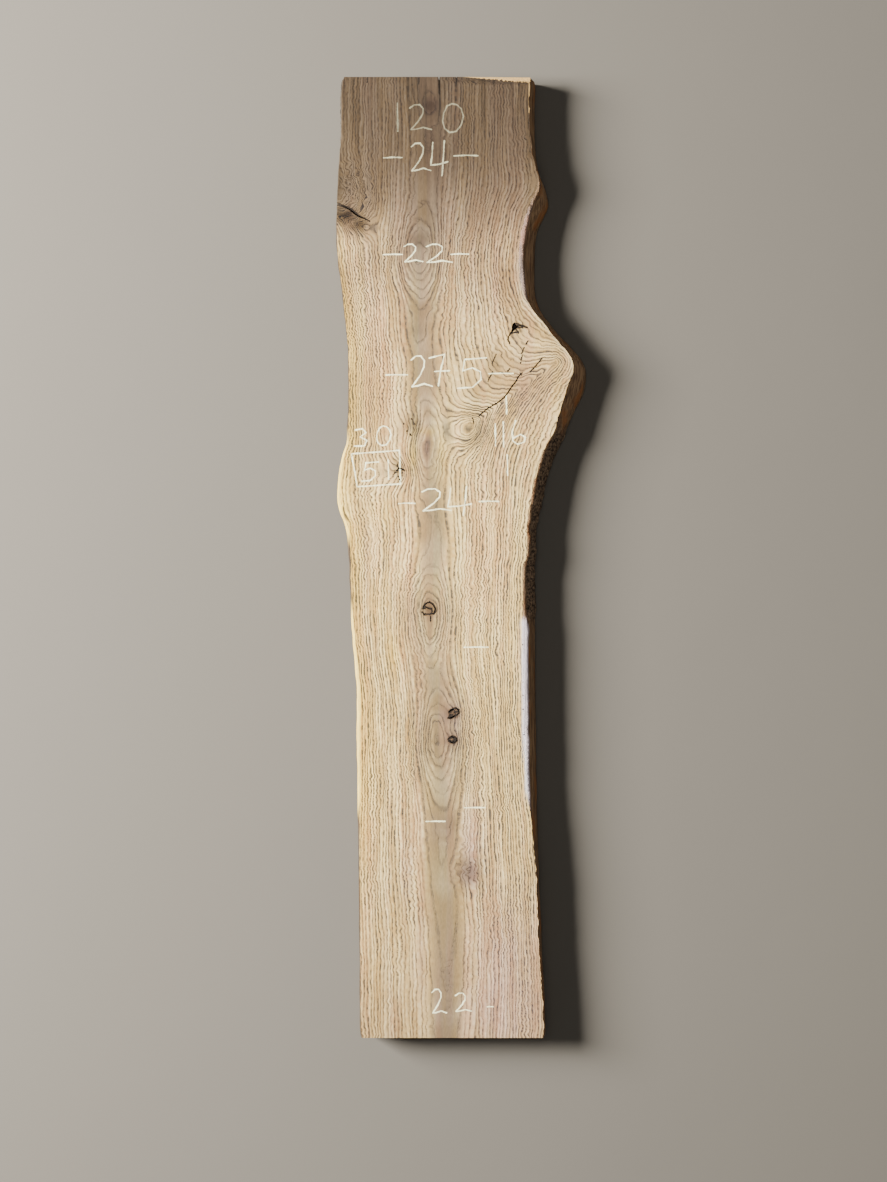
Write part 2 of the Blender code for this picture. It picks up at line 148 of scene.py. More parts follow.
# Patches of colour: across, height, half width, half height, strength
LILAC_PATCHES = [
    (0.025, 0.592, 0.043, 0.150, 1.0), (0.140, 0.230, 0.130, 0.220, 0.9),
    (-0.166, 0.530, 0.018, 0.110, 0.7), (-0.125, 0.250, 0.020, 0.150, 0.6),
    (0.140, 0.100, 0.120, 0.140, 1.3), (-0.070, 0.640, 0.060, 0.060, 0.5),
    (0.022, 0.506, 0.042, 0.050, 1.2), (-0.108, 1.810, 0.014, 0.045, 0.7),
    (-0.030, 0.960, 0.045, 0.090, 0.5), (0.190, 1.990, 0.080, 0.100, 0.5),
    (-0.290, 1.440, 0.012, 0.220, 0.6), (-0.320, 0.900, 0.012, 0.200, 0.4),
    (0.230, 0.080, 0.050, 0.120, 0.5), (-0.050, 0.180, 0.035, 0.200, 0.6),
]
PINK_PATCHES = [
    (-0.106, 1.800, 0.016, 0.070, 0.4), (-0.245, 2.080, 0.040, 0.240, 0.9),
    (0.120, 2.330, 0.070, 0.260, 0.6), (-0.165, 1.380, 0.030, 0.200, 0.6),
    (0.090, 1.580, 0.050, 0.200, 0.6), (0.230, 1.990, 0.050, 0.110, 0.3),
    (-0.120, 1.090, 0.022, 0.180, 0.7), (-0.300, 0.700, 0.030, 0.300, 0.4),
]
YELLOW_PATCHES = [
    (-0.260, 1.615, 0.070, 0.060, 0.4), (-0.150, 1.785, 0.014, 0.050, 0.9),
    (-0.062, 1.800, 0.010, 0.060, 0.8), (-0.108, 1.860, 0.030, 0.014, 0.8),
    (-0.266, 1.320, 0.022, 0.100, 0.6), (-0.213, 1.180, 0.022, 0.070, 0.7),
]
# Paler and darker places: across, height, half width, half height, change of lightness
PALER = [
    (-0.365, 2.425, 0.070, 0.050, 0.32), (-0.270, 2.470, 0.050, 0.060, 0.10),
    (0.140, 2.420, 0.080, 0.080, 0.10), (0.100, 1.200, 0.120, 0.550, 0.09),
    (-0.050, 0.180, 0.035, 0.200, 0.20), (0.150, 0.060, 0.110, 0.120, 0.13),
    (-0.260, 1.490, 0.060, 0.140, 0.06), (-0.240, 0.880, 0.060, 0.160, 0.06),
]
DARKER = [
    (-0.378, 2.600, 0.030, 0.060, 0.12), (-0.220, 0.050, 0.150, 0.150, 0.05),
    (0.120, 1.740, 0.080, 0.100, 0.09), (0.120, 2.300, 0.090, 0.100, 0.13),
    (-0.060, 0.930, 0.075, 0.170, 0.19), (0.040, 0.510, 0.050, 0.070, 0.12),
    (-0.080, 2.680, 0.110, 0.070, 0.018), (0.000, 2.480, 0.120, 0.060, 0.02),
]
# How light the wood is along the trunk, as (height, share): darker to the crown end, partly smoked wood and
# partly painted shade, and a little painted shade at the foot
LIGHTNESS = [
    (0.000, 0.69), (0.200, 0.79), (0.350, 0.86), (0.600, 0.92), (1.200, 0.98), (1.800, 0.95),
    (2.110, 0.85), (2.300, 0.70), (2.420, 0.52), (2.520, 0.310), (2.600, 0.205), (2.700, 0.140),
    (2.800, 0.112), (2.946, 0.100),
]

# Stretches of the slab, as the heights where each starts, is full, starts to fade and ends
BARK_STRETCH = (1.25, 1.31, 1.84, 1.90)
HEART_RIM_STRETCH = (0.30, 0.42, 2.18, 2.34)
YELLOW_STRETCH = (0.35, 0.75, 2.20, 2.50)
WEATHERED_STRETCH = (0.70, 0.76, 1.27, 1.29)
FIBROUS_STRETCH = (1.95, 2.10, 2.30, 2.45)
PALE_RIGHT = (0.68, 0.78, 1.27, 1.30)
PALE_BY_CROWN = (2.20, 2.28, 2.50, 2.60)
PALE_LEFT = (0.66, 0.74, 1.28, 1.36)
PALE_ON_BULGE = (1.50, 1.56, 1.80, 1.88)
# The same for what goes on to the crown end: where it starts and is full
CROWN_BARK = (2.70, 2.76)
FULL_HEART = (0.20, 0.65)


def clamp_share(values):
    return np.clip(values, 0.0, 1.0)


def smooth_share(low, high, values):
    share = clamp_share((values - low) / (high - low))
    return share * share * (3 - 2 * share)


def along_stretch(limits, height):
    """1 along a stretch of the slab, and softly down to 0 outside it."""
    start, full, fading, end = limits
    return smooth_share(start, full, height) * (1 - smooth_share(fading, end, height))


def curve_through(points, at):
    """Smooth reading, at many places, of a list of (place, value) points."""
    places = np.array([point[0] for point in points])
    values = np.array([point[1] for point in points])
    slopes = np.gradient(values, places)
    cell = np.clip(np.searchsorted(places, at) - 1, 0, len(places) - 2)
    span = places[cell + 1] - places[cell]
    share = clamp_share((at - places[cell]) / span)
    square = share * share
    cube = square * share
    start = (2 * cube - 3 * square + 1) * values[cell] + (cube - 2 * square + share) * span * slopes[cell]
    end = (3 * square - 2 * cube) * values[cell + 1] + (cube - square) * span * slopes[cell + 1]
    return start + end


def select_only(piece):
    bpy.ops.object.select_all(action="DESELECT")
    piece.select_set(True)
    bpy.context.view_layer.objects.active = piece


def rows_of(elements, name):
    """A place or direction of every vertex or face, one to the row."""
    values = np.zeros(len(elements) * 3)
    elements.foreach_get(name, values)
    return values.reshape(-1, 3)


def cut_in_view(direction, places):
    """Cuts everything in view by planes across one direction."""
    for place in places:
        bpy.ops.mesh.select_all(action="SELECT")
        bpy.ops.mesh.bisect(plane_co=direction * place, plane_no=direction, use_fill=False)


def cut_faces(mesh, wanted, direction, places):
    """Cuts only the faces whose normals are wanted, in edit mode, with the others hidden meanwhile."""
    bpy.ops.object.mode_set(mode="OBJECT")
    mesh.polygons.foreach_set("select", wanted(rows_of(mesh.polygons, "normal")))
    bpy.ops.object.mode_set(mode="EDIT")
    bpy.ops.mesh.select_mode(type="FACE")
    bpy.ops.mesh.hide(unselected=True)
    cut_in_view(direction, places)
    bpy.ops.mesh.reveal(select=False)


def even_places(low, high, step):
    count = int((high - low) / step)
    margin = (high - low - (count - 1) * step) / 2
    return [low + margin + index * step for index in range(count)]


def divided_slab():
    """A copy of the solid, with its faces divided finely enough for relief and for its figure."""
    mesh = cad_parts["slab"].data.copy()
    mesh.materials.clear()
    slab = bpy.data.objects.new("ash_slab", mesh)
    bpy.context.scene.collection.objects.link(slab)
    select_only(slab)
    bpy.ops.mesh.customdata_custom_splitnormals_clear()
    bpy.ops.object.mode_set(mode="EDIT")
    bpy.ops.mesh.select_all(action="SELECT")
    bpy.ops.mesh.remove_doubles(threshold=MERGE_GAP)
    bpy.ops.mesh.dissolve_limited(angle_limit=FLAT_ANGLE)
    cut_in_view(ALONG, even_places(LOW.y, HIGH.y, SLICE))
    cut_faces(mesh, lambda normals: (normals[:, 2] > FACING) | (abs(normals[:, 1]) > FACING),
              ACROSS, even_places(LOW.x, HIGH.x, FACE_STRIP))
    cut_faces(mesh, lambda normals: normals[:, 2] < -FACING, ACROSS, even_places(LOW.x, HIGH.x, BACK_STRIP))
    cut_faces(mesh, lambda normals: abs(normals[:, 2]) < FACING, UP, even_places(LOW.z, HIGH.z, EDGE_LAYER))
    bpy.ops.object.mode_set(mode="OBJECT")
    return slab


def edge_lines(places):
    """Where the show face ends on the left and on the right at every cut, as (heights, left, right)."""
    on_face = places[places[:, 2] > FACE - RIM_TOLERANCE]
    first, second = even_places(LOW.y, HIGH.y, SLICE)[:2]
    cuts = np.round((on_face[:, 1] - first) / (second - first)).astype(int)
    nearest = first + cuts * (second - first)
    on_cut = abs(on_face[:, 1] - nearest) < RIM_TOLERANCE
    heights = []
    left = []
    right = []
    for cut in np.unique(cuts[on_cut]):
        row = on_face[on_cut & (cuts == cut)]
        heights.append(row[0, 1] - FOOT)
        left.append(row[:, 0].min())
        right.append(row[:, 0].max())
    return np.array(heights), calm(np.array(left)), calm(np.array(right))


def calm(line):
    """Drops single jumps, such as the mouth of a crack, by the middle of each five readings."""
    padded = np.pad(line, 2, mode="edge")
    return np.median([padded[start:start + len(line)] for start in range(5)], axis=0)


def rims_at(height, edges):
    """Where the left and the right rim of the show face are at these heights."""
    return np.interp(height, edges[0], edges[1]), np.interp(height, edges[0], edges[2])


def ring_field(across, height, depth, edges):
    """How many rings each place is from the pith."""
    heart = curve_through(HEART_LINE, height)
    pith = curve_through(PITH_DEPTH, height) * RING
    left, right = rims_at(height, edges)
    left = left - heart
    right = right - heart
    off = across - heart
    follow_left = off + (LEFT_BARK_REACH - left) * np.clip(off / left, 0, 1.2) ** 2
    follow_right = off + (RIGHT_BARK_REACH - right) * np.clip(off / right, 0, 1.2) ** 2
    off = np.where(off < 0, follow_left, follow_right)
    rings = np.sqrt(off**2 + (pith - depth) ** 2) / RING
    below = 1 - 0.6 * depth / THICKNESS
    for centre, middle, half_width, half_height, rise in SWELLINGS:
        away = ((across - centre) / half_width) ** 2 + ((height - middle) / half_height) ** 2
        rings += rise * below * np.exp(-away)
    for start, end, half_width, rise in BRANCHES:
        away = distance_to_line(across, height, start, end) / half_width
        rings += rise * np.exp(-away**1.3)
    return rings


def ring_slant(mesh, across, height, depth, edges):
    """How steeply the surface cuts the rings: 0 where it lies along one, 1 where it cuts straight across."""
    step = 2 * MILLIMETRE
    here = ring_field(across, height, depth, edges)
    rise = np.stack([
        ring_field(across + step, height, depth, edges) - here,
        ring_field(across, height + step, depth, edges) - here,
        here - ring_field(across, height, depth + step, edges),
    ], axis=1) * RING / step
    normals = rows_of(mesh.vertices, "normal")
    normals[depth < RIM_TOLERANCE] = (0, 0, 1)
    along = rise - normals * (rise * normals).sum(axis=1)[:, None]
    return np.minimum(np.linalg.norm(along, axis=1), 1.5)


def distance_to_line(across, height, start, end):
    run = np.subtract(end, start)
    share = clamp_share(((across - start[0]) * run[0] + (height - start[1]) * run[1]) / (run @ run))
    return np.hypot(across - start[0] - share * run[0], height - start[1] - share * run[1])


def spots(across, height, marks):
    """Soft round or oval marks on the face, the strongest winning."""
    strength = np.zeros(len(across))
    for centre, middle, half_width, half_height, amount in marks:
        away = ((across - centre) / half_width) ** 2 + ((height - middle) / half_height) ** 2
        strength = np.maximum(strength, amount * np.exp(-away))
    return strength


def rough(places, sizes, seed):
    """Smooth random heights, about -0.5 to 0.5, with a size in metres along each axis."""
    scaled = places / np.array(sizes)
    return np.array([noise.noise(Vector(spot) + Vector((seed, seed, seed))) for spot in scaled])


SAWN = 0
LIVE_EDGE = 1
HOLLOW = 2
# The broken arris of the crown end, by how far it reaches down from the end and in from the face
CHIP_LENGTH = 20.0 * MILLIMETRE
CHIP_DEPTH = 9.0 * MILLIMETRE
# A face that is neither sawn nor within this of an edge is inside a crack or a pit
EDGE_MARGIN = 3.0 * MILLIMETRE


def face_groups(mesh, edges):
    """Which faces are sawn, which are live edge, and which are inside a crack or pit."""
    normals = rows_of(mesh.polygons, "normal")
    centres = rows_of(mesh.polygons, "center")
    height = centres[:, 1] - FOOT
    left, right = rims_at(height, edges)
    inside = (centres[:, 0] > left + EDGE_MARGIN) & (centres[:, 0] < right - EDGE_MARGIN)
    level = abs(normals[:, 2]) > LEVEL
    at_face = centres[:, 2] > FACE - RIM_TOLERANCE
    at_back = centres[:, 2] < LOW.z + RIM_TOLERANCE
    at_end = (height < RIM_TOLERANCE) | (height > LENGTH - RIM_TOLERANCE)
    at_arris = (height > LENGTH - CHIP_LENGTH) & (centres[:, 2] > FACE - CHIP_DEPTH)
    chipped = at_arris & (normals[:, 1] > 0.2) & (normals[:, 2] > 0.2)
    sawn = (level & (at_face | at_back)) | at_end | chipped
    hollow = ~sawn & inside
    return np.where(sawn, SAWN, np.where(hollow, HOLLOW, LIVE_EDGE))


def vertices_of(mesh, wanted):
    """Which vertices belong to at least one of the wanted faces."""
    corners = np.zeros(len(mesh.loops), dtype=int)
    mesh.loops.foreach_get("vertex_index", corners)
    sides = np.zeros(len(mesh.polygons), dtype=int)
    mesh.polygons.foreach_get("loop_total", sides)
    marked = np.zeros(len(mesh.vertices), dtype=bool)
    marked[corners[np.repeat(wanted, sides)]] = True
    return marked


def soften_live_edges(slab, groups):
    """Rounds off the facets of the live edges between the two sawn rims."""
    mesh = slab.data
    free = vertices_of(mesh, groups == LIVE_EDGE) & ~vertices_of(mesh, groups != LIVE_EDGE)
    select_only(slab)
    mesh.polygons.foreach_set("select", np.zeros(len(mesh.polygons), dtype=bool))
    mesh.edges.foreach_set("select", np.zeros(len(mesh.edges), dtype=bool))
    mesh.vertices.foreach_set("select", free)
    bpy.ops.object.mode_set(mode="EDIT")
    bpy.ops.mesh.select_mode(type="VERT")
    bpy.ops.mesh.vertices_smooth(factor=0.5, repeat=3)
    bpy.ops.object.mode_set(mode="OBJECT")
    return free


def bark_cover(across, height, depth):
    """Where bark still clings: a long stretch on the right, and bits by the crown on the left."""
    right = along_stretch(BARK_STRETCH, height) * (across > 0)
    crown = smooth_share(*CROWN_BARK, height) * (across < 0)
    return np.maximum(right, crown) * smooth_share(0.002, 0.008, depth)


# How far the relief of the live edges is pushed out, and how far the rims are notched
RIDGE_HEIGHT = 0.0030
CRUMB_HEIGHT = 0.0024
RIPPLE_HEIGHT = 0.0022
FIBRE_HEIGHT = 0.0014
RIGHT_NOTCH = 0.0030
LEFT_NOTCH = 0.0016


def roughen_live_edges(mesh, free):
    """Bark ridges and furrows, and the fibrous ripple of the bare edge, pushed out of the surface."""
    places = rows_of(mesh.vertices, "co")
    chosen = places[free]
    depth = FACE - chosen[:, 2]
    height = chosen[:, 1] - FOOT
    bark = bark_cover(chosen[:, 0], height, depth)
    ridges = 1 - abs(rough(chosen, (0.020, 0.030, 0.016), 3.0)) * 4
    crumbs = rough(chosen, (0.008, 0.010, 0.007), 5.0)
    ripple = rough(chosen, (0.030, 0.110, 0.014), 9.0)
    fibre = rough(chosen, (0.010, 0.060, 0.006), 13.0)
    push = bark * (RIDGE_HEIGHT * ridges + CRUMB_HEIGHT * crumbs)
    push += (1 - bark) * (RIPPLE_HEIGHT * ripple + FIBRE_HEIGHT * fibre)
    fade = smooth_share(0.0, 0.008, depth) * smooth_share(0.0, 0.006, chosen[:, 2])
    chosen[:, 0] += np.sign(chosen[:, 0]) * push * fade
    places[free] = chosen
    mesh.vertices.foreach_set("co", places.ravel())
    mesh.update()


def notch_rims(mesh, edges):
    """Small splinters and dents along the edge where the sawn face ends."""
    places = rows_of(mesh.vertices, "co")
    height = places[:, 1] - FOOT
    left, right = rims_at(height, edges)
    at_face = places[:, 2] > FACE - RIM_TOLERANCE
    on_right = at_face & (abs(places[:, 0] - right) < 0.002)
    on_left = at_face & (abs(places[:, 0] - left) < 0.002)
    for rim, sizes, amount, seed in (
        (on_right, (0.030, 0.011, 0.030), RIGHT_NOTCH, 41.0),
        (on_left, (0.030, 0.016, 0.030), LEFT_NOTCH, 43.0),
    ):
        kept = rim & (height > 0.01) & (height < LENGTH - 0.02)
        places[kept, 0] += amount * rough(places[kept], sizes, seed)
    mesh.vertices.foreach_set("co", places.ravel())
    mesh.update()


def store(mesh, name, values):
    layer = mesh.attributes.new(name, "FLOAT", "POINT")
    layer.data.foreach_set("value", values.astype(np.float32))


def store_figure(mesh, edges):
    places = rows_of(mesh.vertices, "co")
    across = places[:, 0]
    height = places[:, 1] - FOOT
    depth = FACE - places[:, 2]
    left, right = rims_at(height, edges)
    store(mesh, "ring", ring_field(across, height, depth, edges))
    store(mesh, "slant", ring_slant(mesh, across, height, depth, edges))
    for name, marks in (("smudge", SMUDGES), ("burl", BURLS), ("ripple", RIPPLES), ("lilac", LILAC_PATCHES),
                        ("pink", PINK_PATCHES)):
        store(mesh, name, spots(across, height, marks))
    heart_line = curve_through(HEART_LINE, height)
    heart_reach = curve_through(HEART_REACH, height)
    dullness = 0.62 + 0.38 * smooth_share(*FULL_HEART, height)
    store(mesh, "heart", dullness * np.exp(-((across - heart_line) / heart_reach) ** 4))
    rim = np.exp(-(((across - curve_through(HEART_RIM, height)) / HEART_RIM_WIDTH) ** 2))
    store(mesh, "rim", rim * along_stretch(HEART_RIM_STRETCH, height))
    # Lightness along the slab: the darker crown end and foot are partly painted shade
    light = curve_through(LIGHTNESS, height) + spots(across, height, PALER) - spots(across, height, DARKER)
    store(mesh, "light", np.clip(light, 0.09, 1.1))
    yellowed = 0.25 + 0.75 * along_stretch(YELLOW_STRETCH, height)
    yellowed *= np.exp(-(np.maximum(across - left, 0) / YELLOW_WIDTH) ** 1.5)
    store(mesh, "sapwood", np.maximum(yellowed, spots(across, height, YELLOW_PATCHES)))
    weathered = along_stretch(WEATHERED_STRETCH, height)
    fibrous = along_stretch(FIBROUS_STRETCH, height) * 0.55
    near_rim = 1 - smooth_share(0.002, 0.008, right - across)
    store(mesh, "whitened", np.maximum(weathered, fibrous) * near_rim * (across > 0))
    store(mesh, "depth", depth)
    store(mesh, "bark", bark_cover(across, height, depth))
    on_right = np.maximum(along_stretch(PALE_RIGHT, height), 0.22 * along_stretch(PALE_BY_CROWN, height))
    on_left = np.maximum(along_stretch(PALE_LEFT, height), along_stretch(PALE_ON_BULGE, height))
    store(mesh, "wane", np.where(across > 0, on_right, on_left))


class Reading:
    """A value, colour or place inside a finish, so that sums on it read as plain sums."""

    def __init__(self, finish, socket):
        self.finish = finish
        self.socket = socket

    def __add__(self, other):
        return self.finish.sum("ADD", self, other)

    def __sub__(self, other):
        return self.finish.sum("SUBTRACT", self, other)

    def __rsub__(self, other):
        return self.finish.sum("SUBTRACT", other, self)

    def __mul__(self, other):
        return self.finish.sum("MULTIPLY", self, other)

    def __truediv__(self, other):
        return self.finish.sum("DIVIDE", self, other)

    def __gt__(self, other):
        return self.finish.sum("GREATER_THAN", self, other)

    def __lt__(self, other):
        return self.finish.sum("LESS_THAN", self, other)

    __radd__ = __add__
    __rmul__ = __mul__


class Finish:
    """A material, and plain words for laying out its nodes."""

    def __init__(self, name):
        self.material = bpy.data.materials.new(name)
        self.material.use_nodes = True
        self.nodes = self.material.node_tree.nodes
        self.links = self.material.node_tree.links
        self.surface = self.nodes["Principled BSDF"]

    def add(self, kind, settings=None, values=None, output=0):
        node = self.nodes.new(kind)
        for name, setting in (settings or {}).items():
            setattr(node, name, setting)
        for name, value in (values or {}).items():
            self.feed(node.inputs[name], value)
        return Reading(self, node.outputs[output])

    def feed(self, socket, value):
        if isinstance(value, Reading):
            self.links.new(value.socket, socket)
        elif socket.type == "RGBA" and len(value) == 3:
            socket.default_value = (*value, 1)
        else:
            socket.default_value = value

    def sum(self, operation, first, second):
        return self.add("ShaderNodeMath", {"operation": operation}, {0: first, 1: second})

    def least(self, first, second):
        return self.sum("MINIMUM", first, second)

    def most(self, first, second):
        return self.sum("MAXIMUM", first, second)

    def clamped(self, value):
        return self.add("ShaderNodeClamp", values={"Value": value})

    def remainder(self, value):
        return self.sum("FRACT", value, 0.0)

    def whole(self, value):
        return self.sum("FLOOR", value, 0.0)

    def wave(self, turns):
        """An even wave between 0 and 1, one for each turn."""
        return self.sum("SINE", turns * FULL_TURN, 0.0) * 0.5 + 0.5

    def step(self, value, low, high):
        return self.add("ShaderNodeMapRange", {"interpolation_type": "SMOOTHSTEP"},
                        {"Value": value, "From Min": low, "From Max": high})

    def mix(self, share, first, second):
        return self.add("ShaderNodeMix", {"data_type": "RGBA"}, {0: share, 6: first, 7: second}, output=2)

    def tint(self, share, first, second):
        """Multiplies a colour by another, by a share."""
        return self.add("ShaderNodeMix", {"data_type": "RGBA", "blend_type": "MULTIPLY"},
                        {0: share, 6: first, 7: second}, output=2)

    def place(self):
        return self.add("ShaderNodeTexCoord", output=3)

    def split(self, vector):
        node = self.add("ShaderNodeSeparateXYZ", values={0: vector}).socket.node
        return [Reading(self, socket) for socket in node.outputs]

    def join(self, x, y, z):
        return self.add("ShaderNodeCombineXYZ", values={0: x, 1: y, 2: z})

    def vector(self, operation, *values, output=0):
        return self.add("ShaderNodeVectorMath", {"operation": operation}, dict(enumerate(values)), output)

    def scaled(self, vector, share):
        return self.add("ShaderNodeVectorMath", {"operation": "SCALE"}, {"Vector": vector, "Scale": share})

    def noise(self, vector, detail, roughness=0.5):
        return self.add("ShaderNodeTexNoise", {"noise_dimensions": "3D"},
                        {"Vector": vector, "Scale": 1.0, "Detail": detail, "Roughness": roughness})

    def grain(self, place, sizes, detail, roughness=0.5):
        """An uneven pattern whose patches have about these sizes along each axis."""
        steps = tuple(1 / size for size in sizes)
        return self.noise(self.vector("MULTIPLY", place, steps), detail, roughness)

    def attribute(self, name):
        return self.add("ShaderNodeAttribute", {"attribute_name": name}, output="Fac")

    def bump(self, height, distance):
        return self.add("ShaderNodeBump", values={"Height": height, "Distance": distance})

    def paint(self, colour, roughness, normal):
        self.feed(self.surface.inputs["Base Color"], colour)
        self.feed(self.surface.inputs["Roughness"], roughness)
        self.feed(self.surface.inputs["Normal"], normal)
        self.surface.inputs["Specular IOR Level"].default_value = 0.15


# Colours of the sawn wood. Those that tint it are shares of its own colour.
LATE_WOOD = (0.765, 0.546, 0.224)
BRIGHT_WOOD = (0.96, 0.780, 0.380)
HEART_WOOD = (0.330, 0.258, 0.138)
EARLY_WOOD = (0.100, 0.076, 0.047)
PORE_BROWN = (0.050, 0.040, 0.030)
# Tint of the darkened crown end: partly smoked wood, partly painted shade
SMOKED_AND_SHADED_BROWN = (0.94, 0.88, 1.34)
LILAC = (0.87, 0.835, 1.22)
PINK = (1.02, 0.92, 0.92)
STRAW = (1.02, 0.98, 0.86)
SAP_YELLOW = (1.12, 1.05, 0.54)
DULL_RINGS = (0.72, 0.66, 0.57)
HEART_RIM_RED = (0.72, 0.61, 0.57)
STAIN = (0.22, 0.205, 0.205)
FRESH_WOOD = (0.54, 0.34, 0.13)
WEATHERED_WHITE = (0.70, 0.66, 0.68)
FIBROUS_WOOD = (0.80, 0.66, 0.36)
KNOT_HALO = (0.84, 0.80, 0.92)
KNOT_BROWN = (0.40, 0.33, 0.29)

# Sizes of the patterns in the wood, across the slab, along it and down into it
RIPPLE_PATCH = (0.08, 0.20, 0.08)
SLOW_WANDER = (0.028, 0.110, 0.028)
QUICK_WANDER = (0.010, 0.030, 0.010)
KNOTTY_WANDER = (0.020, 0.020, 0.020)
FIBRE_WAVES = (0.050, 0.014, 0.050)
SPECK = (0.0065, 0.0080, 0.0065)
COLOUR_DRIFT = (0.030, 0.45, 0.030)
FIBRE = (0.0042, 0.0150, 0.0042)
SMOKE_STREAK = (0.012, 0.22, 0.012)
# The saw's ripple repeats at this pitch up the slab, and leans over this width across it
RIPPLE_PITCH = 0.0125
RIPPLE_LEAN = 0.030
FULL_TURN = 6.283
# The figure shows this many rings for each ring of the field
FINER_RINGS = 1.06


def ripple_share(finish, place):
    """Where the fibres run in small waves, as they do over much of a figured plank."""
    patches = finish.step(finish.grain(place, RIPPLE_PATCH, 1.0), 0.46, 0.64)
    return finish.most(patches * 0.5 + 0.15, finish.attribute("ripple"))


def grown_rings(finish, place, slant, rippled):
    """The ring count, made to wander as real rings do."""
    count = finish.attribute("ring") * FINER_RINGS
    burl = finish.attribute("burl")
    slow = finish.grain(place, SLOW_WANDER, 1.0)
    quick = finish.grain(place, QUICK_WANDER, 1.0)
    knotty = finish.grain(place, KNOTTY_WANDER, 1.0)
    waves = finish.grain(place, FIBRE_WAVES, 0.0)
    wander = (slow - 0.5) * 1.8 + (quick - 0.5) * 0.5 + (waves - 0.5) * rippled * 2.2
    count = count + wander * (slant * 0.8 + 0.2) + (knotty - 0.5) * burl * 4.0
    uneven = finish.noise(finish.join(count * 0.45, 0.0, 0.0), detail=1.0)
    return count + (uneven - 0.5) * 1.3


def smoke_and_shade_share(finish, y):
    """How far up the darkened crown end a place is: partly smoked wood, partly painted shade."""
    return finish.step(y - FOOT, 2.30, 2.72)


def ash_figure(finish, place, count, slant, rippled):
    """How dark the early wood is, how bright the late wood beside it is, and where the pores are."""
    x, y, z = finish.split(place)
    rank = finish.whole(count)
    phase = finish.remainder(count)
    width = slant * 0.44 + 0.17
    band = finish.step(phase, 0.0, 0.10) * (1 - finish.step(phase / width, 0.50, 1.25))
    bright = finish.step(phase / width, 1.0, 1.6) * (1 - finish.step(phase, 0.88, 1.0))
    bright = bright * finish.step(slant, 0.25, 0.75)
    long_fade = finish.step(finish.noise(finish.join(rank * 1.7, y / 0.13, z / 0.16), detail=1.0), 0.34, 0.58)
    drifted = finish.noise(finish.join(rank * 0.31, y / 0.050, 4.0), detail=0.0)
    sawing = finish.wave(y / RIPPLE_PITCH + x / RIPPLE_LEAN + drifted * 5.0)
    dashes = finish.step(finish.noise(finish.join(rank * 3.7, y / 0.014, x / 0.20), detail=1.0), 0.38, 0.60)
    broken = dashes * (1 - rippled) + sawing * rippled
    quiet = (1 - smoke_and_shade_share(finish, y) * 0.40) * (finish.step(y - FOOT, 0.10, 0.50) * 0.20 + 0.80)
    dark = band * (0.58 + long_fade * 0.42) * (0.38 + broken * 0.62) * quiet
    fade = finish.noise(finish.join(rank * 2.3, y / 0.022, 9.0), detail=1.0)
    bright = bright * finish.step(fade, 0.36, 0.60) * (1 - rippled * sawing * 0.6) * quiet
    speck = finish.step(finish.grain(place, SPECK, 1.0), 0.52, 0.64)
    bright = finish.most(bright, finish.clamped(finish.attribute("burl")) * speck * 0.2)
    pores = finish.noise(finish.join(count * 14.0, y / 0.008, x / 0.030), detail=1.0)
    return dark, bright, band * finish.step(pores, 0.56, 0.64)


def ringed_ash(finish, place, slant):
    """The wood's own colours: dull heart, bright late wood, dark early wood and its pores."""
    x, y, z = finish.split(place)
    rippled = ripple_share(finish, place)
    count = grown_rings(finish, place, slant, rippled)
    dark, bright, pores = ash_figure(finish, place, count, slant, rippled)
    heart = finish.attribute("heart")
    # The darkened crown end, partly smoke and partly painted shade, also dulls the colours and the figure
    # there
    smoked_and_shaded = smoke_and_shade_share(finish, y)
    outer = finish.step(slant, 0.10, 0.60) * (1 - heart * 0.75)
    plain = finish.mix(finish.most(outer, smoked_and_shaded * 0.7), HEART_WOOD, LATE_WOOD)
    drift = finish.grain(place, COLOUR_DRIFT, 2.0)
    loud = 1 - smoked_and_shaded * 0.6
    plain = finish.tint(finish.step(drift, 0.45, 0.62) * loud, plain, PINK)
    plain = finish.tint(finish.step(drift, 0.52, 0.36), plain, STRAW)
    plain = finish.mix(bright * (0.85 - heart * 0.50), plain, BRIGHT_WOOD)
    shade = finish.noise(finish.join(count * 0.42, y / 0.30, z), detail=2.0)
    shade = finish.step(shade, 0.36, 0.62) * loud
    plain = finish.tint(shade, plain, DULL_RINGS)
    plain = finish.tint(finish.attribute("rim") * 0.6, plain, HEART_RIM_RED)
    calm = heart * (0.24 + (1 - finish.step(y - FOOT, 0.35, 0.60)) * 0.26)
    strength = slant * 0.50 + 0.76 - calm + shade * 0.12
    colour = finish.mix(finish.clamped(dark * strength), plain, EARLY_WOOD)
    colour = finish.mix(pores * 0.22, colour, PORE_BROWN)
    fibre = finish.grain(place, FIBRE, 2.0)
    return finish.scaled(colour, 1 + (fibre - 0.5) * 0.55), dark, pores


def weathered_ash(finish, place, colour):
    """Patches of colour, the darkened crown end and the stains, over the wood. The darkening of the crown end
    and the foot is partly smoke and partly painted shade.
    """
    x, y, z = finish.split(place)
    colour = finish.tint(finish.attribute("sapwood") * 0.8, colour, SAP_YELLOW)
    bare = finish.mix(finish.step(y - FOOT, 1.6, 1.9), WEATHERED_WHITE, FIBROUS_WOOD)
    colour = finish.mix(finish.attribute("whitened"), colour, bare)
    colour = finish.tint(finish.attribute("lilac"), colour, LILAC)
    colour = finish.tint(finish.attribute("pink"), colour, PINK)
    # Painted shade towards both ends, with smoke at the crown end: the colour is darkened by this share
    light = finish.attribute("light")
    smoky = finish.grain(place, SMOKE_STREAK, 3.0)
    light = light + (smoky - 0.5) * (1 - light) * 0.22
    colour = finish.tint(finish.clamped(1 - light), colour, SMOKED_AND_SHADED_BROWN)
    colour = finish.scaled(colour, light)
    return finish.tint(finish.attribute("smudge"), colour, STAIN)


